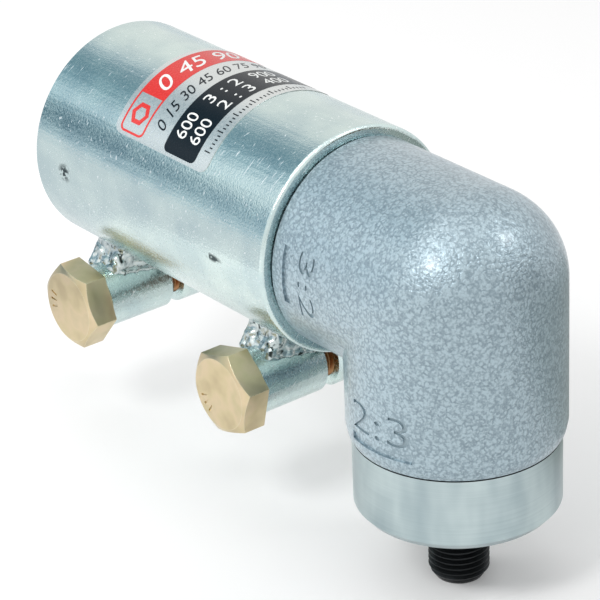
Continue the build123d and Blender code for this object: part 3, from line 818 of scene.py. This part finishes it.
# Clamp bolts: the CAD head with softened corners, three stamped dashes and a rolled thread
def clamp_bolt(place, marks_turn):
    head_gap = 0.02
    head_end = 0.01
    overlap = 0.4
    start_taper, tip_taper = (0.01, 0.1), (1.2, 1.2)
    axis = Vector(joints[f"{place}_bolt_turn"]["pos_m"])
    low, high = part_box(f"{place}_clamp_bolt")
    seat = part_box(f"{place}_plain_lug")[0].y - head_gap * MM
    head = copy_of(f"{place}_clamp_bolt", f"{place}_threaded_bolt")
    cut_off(head, (axis.x, seat - head_end * MM, 0), (0, 1, 0))
    for finish in ("yellow_zinc", "worn_zinc"):
        head.data.materials.append(finishes[finish])
    apply_modifier(head, "worn_edges", "BEVEL", width=corner_softening * MM, segments=3,
                   limit_method="ANGLE", angle_limit=radians(20), material=1)
    for dash in dash_turns:
        turn = radians(marks_turn + dash)
        middle = (axis.x + dash_circle * MM * cos(turn), low.y,
                  axis.z + dash_circle * MM * sin(turn))
        bpy.ops.object.select_all(action="DESELECT")
        bpy.ops.mesh.primitive_cube_add(size=MM, location=middle, rotation=(0, -turn, 0))
        tool = bpy.context.object
        tool.scale = dash_size
        tool.data.materials.append(finishes["yellow_zinc"])
        stamp(head, tool)
    rod = threaded_rod(f"{place}_bolt_thread", bolt_crest, bolt_pitch, bolt_depth,
                       (high.y - seat) / MM + overlap, start_taper, tip_taper)
    # The thread is coppery brown: partly chromate film, partly painted shade in the slit
    rod.data.materials.append(finishes["bolt_thread_film_and_shade"])
    rod.rotation_euler = (-pi / 2, 0, 0)
    rod.location = (axis.x, seat - overlap * MM, axis.z)
    settle_place(rod)
    keep(join([head, rod]), f"{place}_bolt", "yellow_zinc", [f"{place}_clamp_bolt"])


# Welds: beads of metal melted together over a narrowed core of the CAD wedge
def weld_run(place, kind):
    bare_end = 2.6
    longest_reach = 14.2
    low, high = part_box(f"{place}_{kind}_lug")
    middle = (low + high) / 2
    lug_radius = (high.x - low.x) / 2 / MM
    side = 1 if middle.y > 0 else -1
    inner_end, outer_end = sorted((abs(low.y) / MM, abs(high.y) / MM))
    reach = min(outer_end - bare_end, longest_reach)
    core = copy_of(f"{place}_{kind}_weld", f"{place}_{kind}_weld_run")
    bpy.ops.object.mode_set(mode="EDIT")
    bpy.ops.mesh.select_all(action="SELECT")
    bpy.ops.transform.resize(value=(0.6, 0.97, 1), center_override=(middle.x, 0, middle.z))
    bpy.ops.object.mode_set(mode="OBJECT")

    # Each bead is its place across the lug, its distance out from the slit, its height and its
    # size. On each flank one row lies along the sleeve and one along the lug. The ripples are
    # waves whose lengths never fit the beads' spacing, so that they look uneven.
    beads = []
    steps = int((reach - inner_end) / bead_step)
    for flank in (-1, 1):
        for step in range(1, steps + 1):
            out = inner_end + bead_step * step
            wobble = sin(5.3 * step + 2 * flank + 0.7 * middle.x / MM)
            sleeve_depth = sleeve_radius / MM + foot_off + foot_rise * out
            across = foot_across - foot_draw * out
            beads.append((flank * across, out, -sqrt(sleeve_depth**2 - out**2),
                          foot_bead + foot_ripple * wobble))
            across = lug_across - lug_draw * out
            on_lug = middle.z / MM + sqrt(lug_radius**2 - across**2) + lug_off
            beads.append((flank * across, out, on_lug,
                          lug_bead + lug_ripple * cos(4.1 * step + flank)))
    # The far end is built up in rows, from the sleeve down to the lug
    for row in range(end_rows):
        for column in range(end_columns):
            wobble = sin(3.7 * row + 2.3 * column + 0.5 * middle.x / MM)
            out = reach - end_back + row_out * row
            sleeve_depth = sleeve_radius / MM + end_off + row_off * row
            across = end_across + column_step * column + column_ripple * wobble
            beads.append((across, out, -sqrt(sleeve_depth**2 - out**2),
                          end_bead + end_ripple * wobble))
    pieces = [core]
    for across, out, height, size in beads:
        bead_place = (middle.x + across * MM, side * out * MM, height * MM)
        bpy.ops.mesh.primitive_ico_sphere_add(subdivisions=2, radius=size * MM,
                                              location=bead_place)
        pieces.append(bpy.context.object)
    run = join(pieces)
    apply_modifier(run, "melt", "REMESH", mode="VOXEL", voxel_size=weld_voxel * MM)
    apply_modifier(run, "settle", "SMOOTH", factor=0.5, iterations=16)
    keep(run, "clamp", "plated_weld", [f"{place}_{kind}_weld"], angle=60)


# Label: foil with generic prints in three inks, bent round the sleeve
def sleeve_label():
    sleeve = round_surface((label_middle_x * MM, 0, 0), (0, -1, 0), (0, 0, 1), (-1, 0, 0))
    foil_radius = sleeve_radius + foil_gap * MM
    print_radius = foil_radius + foil_thickness * MM
    over_radius = print_radius + print_thickness * MM

    foil = plate("label_foil_sheet", label_long, label_tall, (0, 0), foil_thickness,
                 corner=label_corner)
    red = [
        plate("label_red_print", field_long, red_tall, (field_middle, red_row), print_thickness,
              corner=1.5, border=0.5),
        plate("red_field", 29.9, 7.5, (4.65, red_row), field_thickness),
        hexagon_ring("nut_sign", 2.8, 1.0, (-14.9, 10.4), print_thickness),
    ]
    black = [
        figures("label_black_print", "0 15 30 45 60 75 90", 32.4, 3.2,
                (field_middle, figures_row), print_thickness, figures_lean),
        plate("black_panel", field_long, panel_tall, (field_middle, panel_row), print_thickness,
              corner=1.4),
    ]
    for tick in range(30):
        tall = short_tick if tick % 5 else long_tick
        black.append(plate("scale_tick", tick_width, tall, (-16 + tick, tick_foot + tall / 2),
                           print_thickness))
    white = [figures("label_white_print", "0 45 90", 23.0, 5.0, (3.6, 10.4), print_thickness,
                     figures_lean)]
    # Each way round of the gears has a row in the panel: the ratio, the speed in and out
    for way, up, ratio, speed in (("high", -4.1, "3 : 2", "900"), ("low", -8.7, "2 : 3", "400")):
        for kind, words, long, across in (("ratio", ratio, 9.4, -1.4),
                                          ("drive", "600", 6.2, -12.8),
                                          ("speed", speed, 6.2, 9.6)):
            white.append(figures(f"{way}_{kind}", words, long, ratio_tall, (across, up),
                                 print_thickness))
    for pieces, ink, radius in (
        ([foil], "label_foil", foil_radius),
        (red, "red_ink", print_radius),
        (black, "black_ink", print_radius),
        (white, "white_ink", over_radius),
    ):
        sheet = join(pieces)
        bend_round(sheet, sleeve, radius, label_middle_angle, label_slant)
        sheet.data.materials.clear()
        sheet.data.materials.append(finishes[ink])
        keep(sheet, "clamp", "label_foil", ["sleeve_label"] if sheet is foil else ())


place_camera()
light_studio()
hang_cards()

finishes = {
    "zinc_plated_steel": zinc_plated_steel(),
    "plated_weld": plated_weld(),
    "yellow_zinc": yellow_zinc(),
    "hammered_paint": hammered_paint(),
    "turned_aluminium": turned_aluminium("turned_aluminium", (0.02, 0.02, 1.0)),
}
# Each finish: its colour, metallic and roughness, and its grain and relief in millimetres
for name, *values in (
    # Zinc rubbed thin on the bolt heads' edges: a paler line round each face
    ("worn_zinc", "#E2D8BC", 1.0, 0.3, 0.4, 0.01),
    # Rolled threads: a coppery brown, partly a thick chromate film and partly painted shade for the
    # threads lying in the lug slit
    ("bolt_thread_film_and_shade", "#A97C55", 1.0, 0.34, 0.5, 0.01),
    # Painted shade in the cast figures: a shade darker and flatter than the paint round them
    ("marks_painted_shade", "#94A6AE", 0.3, 0.4, 0.6, 0.02),
    # Painted shade in the groove over the band: a near black hairline
    ("seam_painted_shade", "#2B2F30", 0.0, 0.5, 0.3, 0.01),
    # Blackened, oiled steel: near black with a soft grey sheen
    ("black_oxide_steel", "#26292B", 0.7, 0.38, 0.4, 0.01),
    # Printed aluminium foil under lacquer: a satin silver white
    ("label_foil", "#DADEDD", 0.8, 0.3, 0.6, 0.004),
    # Screen printed inks: flat colour with the gloss of their lacquer
    ("red_ink", "#CF2F2B", 0.0, 0.26, 0.5, 0.003),
    ("black_ink", "#06131C", 0.0, 0.24, 0.5, 0.003),
    ("white_ink", "#E6E9E7", 0.0, 0.3, 0.5, 0.003),
    # Moulded nitrile rubber: a dull black lip
    ("seal_rubber", "#1B1B1C", 0.0, 0.55, 0.3, 0.01),
    # Sintered bronze, damp with oil: a warm matt brown
    ("bush_bronze", "#B5894E", 1.0, 0.42, 0.3, 0.01),
    # Blued spring steel of the circlips: a dark grey with a soft edge of light
    ("spring_steel", "#4A4C4F", 1.0, 0.36, 0.4, 0.006),
    # Ground and polished bearing steel: a clear mirror
    ("bearing_steel", "#C4C7CA", 1.0, 0.14, 0.8, 0.002),
    # Cut and hardened gear steel under an oil film: a mid grey satin
    ("gear_steel", "#9A9DA0", 1.0, 0.34, 0.5, 0.006),
):
    finishes[name] = plain_finish(name, *values)

# The black panel mirrors less than the other inks, so that it stays deep under the lamps
black_shader = finishes["black_ink"].node_tree.nodes["Principled BSDF"]
black_shader.inputs["Specular IOR Level"].default_value = 0.25

# The frame's nodes take the finish of their slot in the record
for subpart in frame["record"]["subparts"]:
    node = frame["nodes"][subpart["node"]]
    node.data.materials.clear()
    node.data.materials.append(finishes[subpart["material_slot"]])
input_box = frame["nodes"]["input_bearing_box"]
input_box.data.materials[0] = turned_aluminium("turned_aluminium_input", (1.0, 0.02, 0.02))

output_spindle()
marked_housing()
grooved_box()
for place, marks_turn in (("rear", 179), ("front", 218)):
    clamp_bolt(place, marks_turn)
    for kind in ("plain", "threaded"):
        weld_run(place, kind)
sleeve_label()

bpy.context.scene.view_settings.view_transform = "Standard"
